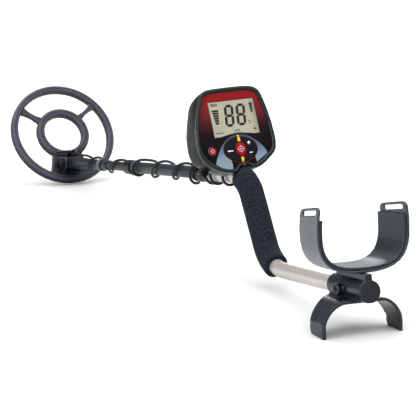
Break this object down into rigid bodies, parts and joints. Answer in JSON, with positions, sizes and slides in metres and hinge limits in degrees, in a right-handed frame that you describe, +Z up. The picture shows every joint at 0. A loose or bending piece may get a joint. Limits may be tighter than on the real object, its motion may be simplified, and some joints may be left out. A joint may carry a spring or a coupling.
{
  "type": "metal detector",
  "caption": "Ground-search metal detector: bent arm rod with cuff and stand, control housing with display and keys, telescoping stems and a tilting round coil.",
  "frame": {"origin": "bottom centre of the bounding box, on the floor under the stand's feet and the coil's heel", "axes": "+Y from the arm cuff towards the coil, +Z up, +X to the user's right"},
  "size_m": [0.2032, 1.2184, 0.266],
  "materials": {
    "aluminium": "satin anodised",
    "steel": "plain zinc",
    "copper": "enamelled copper wire",
    "foam": "closed-cell foam",
    "plastic": "fine texture",
    "coil_plastic": "matte",
    "stem_plastic": "matte",
    "housing_plastic": "satin",
    "face_print": "printed, satin",
    "screen": "liquid-crystal glass",
    "window": "clear",
    "red_rubber": "silicone",
    "dark_rubber": "silicone",
    "board": "solder mask",
    "black_rubber": "moulded",
    "fabric": "woven hook-and-loop"
  },
  "bodies": {
    "handle": {"s_rod": "aluminium", "grip_foam": "foam", "tube_end_plug": "plastic", "arm_cuff": "plastic", "cuff_pad": "black_rubber", "cuff_screw_1": "steel", "cuff_screw_2": "steel", "stand": "plastic", "clamp_bolt": "steel", "clamp_nut": "steel", "upper_collet": "plastic", "console_shell": "housing_plastic", "console_bezel": "housing_plastic", "faceplate": "face_print", "display_window": "window", "display_module": "screen", "keypad_mat": "dark_rubber", "circuit_board": "board", "speaker": "black_rubber", "battery": "steel", "battery_snap": "black_rubber", "housing_screw_1": "steel", "housing_screw_2": "steel", "housing_screw_3": "steel", "housing_screw_4": "steel", "cable_socket": "steel", "headphone_jack": "black_rubber", "cable_plug": "black_rubber", "console_bracket": "plastic", "bracket_screw": "steel", "cable_lead": "black_rubber", "rod_strap": "fabric"},
    "upper_collar": {"upper_lock_collar": "black_rubber"},
    "middle": {"middle_stem": "stem_plastic", "lower_collet": "plastic", "middle_strap": "fabric", "cable_upper": "black_rubber"},
    "lower_collar": {"lower_lock_collar": "black_rubber"},
    "lower": {"lower_stem": "stem_plastic", "stem_tip": "stem_plastic", "lower_strap": "fabric", "cable_lower": "black_rubber", "cable_tip": "black_rubber", "tilt_washer_left": "black_rubber", "tilt_washer_right": "black_rubber"},
    "coil": {"coil_housing": "coil_plastic", "coil_cover": "coil_plastic", "transmit_winding": "copper", "receive_winding": "copper", "coil_gland": "black_rubber", "coil_bolt": "plastic", "cable_end": "black_rubber"},
    "knob": {"coil_knob": "plastic"},
    "power_key": {"power_button": "red_rubber"},
    "pinpoint_key": {"pinpoint_button": "red_rubber"},
    "plus_key": {"plus_button": "dark_rubber"},
    "minus_key": {"minus_button": "dark_rubber"},
    "menu_key": {"menu_button": "dark_rubber"},
    "door": {"battery_door": "housing_plastic"},
    "coupling_ring": {"plug_ring": "black_rubber"}
  },
  "joints": [
    {"name": "upper_collar_twist", "type": "hinge", "parent": "handle", "child": "upper_collar", "pos_m": [0, -0.10235, 0.12136], "axis": [0, 0.9911, -0.1328], "range_deg": [0, 90]},
    {"name": "middle_slide", "type": "slide", "parent": "handle", "child": "middle", "axis": [0, 0.9911, -0.1328], "range_m": [-0.045, 0.035], "deforming": ["cable_upper"]},
    {"name": "lower_collar_twist", "type": "hinge", "parent": "middle", "child": "lower_collar", "pos_m": [0, 0.19004, 0.08219], "axis": [0, 0.9911, -0.1328], "range_deg": [0, 90]},
    {"name": "lower_slide", "type": "slide", "parent": "middle", "child": "lower", "axis": [0, 0.9911, -0.1328], "range_m": [-0.06, 0.06], "deforming": ["cable_lower"]},
    {"name": "coil_tilt", "type": "hinge", "parent": "lower", "child": "coil", "pos_m": [0, 0.49531, 0.0413], "axis": [1, 0, 0], "range_deg": [-45, 25], "deforming": ["cable_end"]},
    {"name": "knob_turn", "type": "hinge", "parent": "coil", "child": "knob", "pos_m": [-0.02, 0.49531, 0.0413], "axis": [1, 0, 0], "continuous": true},
    {"name": "power_key_press", "type": "slide", "parent": "handle", "child": "power_key", "axis": [0.0187, 0.9217, -0.3874], "range_m": [0, 0.0006], "stiffness_N_per_m": 800},
    {"name": "pinpoint_key_press", "type": "slide", "parent": "handle", "child": "pinpoint_key", "axis": [0.0187, 0.9217, -0.3874], "range_m": [0, 0.0006], "stiffness_N_per_m": 800},
    {"name": "plus_key_press", "type": "slide", "parent": "handle", "child": "plus_key", "axis": [0.0187, 0.9217, -0.3874], "range_m": [0, 0.0006], "stiffness_N_per_m": 800},
    {"name": "minus_key_press", "type": "slide", "parent": "handle", "child": "minus_key", "axis": [0.0187, 0.9217, -0.3874], "range_m": [0, 0.0006], "stiffness_N_per_m": 800},
    {"name": "menu_key_press", "type": "slide", "parent": "handle", "child": "menu_key", "axis": [0.0187, 0.9217, -0.3874], "range_m": [0, 0.0006], "stiffness_N_per_m": 800},
    {"name": "battery_door_slide", "type": "slide", "parent": "handle", "child": "door", "axis": [0.0636, -0.3878, -0.9196], "range_m": [0, 0.028]},
    {"name": "coupling_ring_turn", "type": "hinge", "parent": "handle", "child": "coupling_ring", "pos_m": [-0.04816, -0.2215, 0.14596], "axis": [-0.5836, -0.3045, -0.7528], "continuous": true}
  ]
}
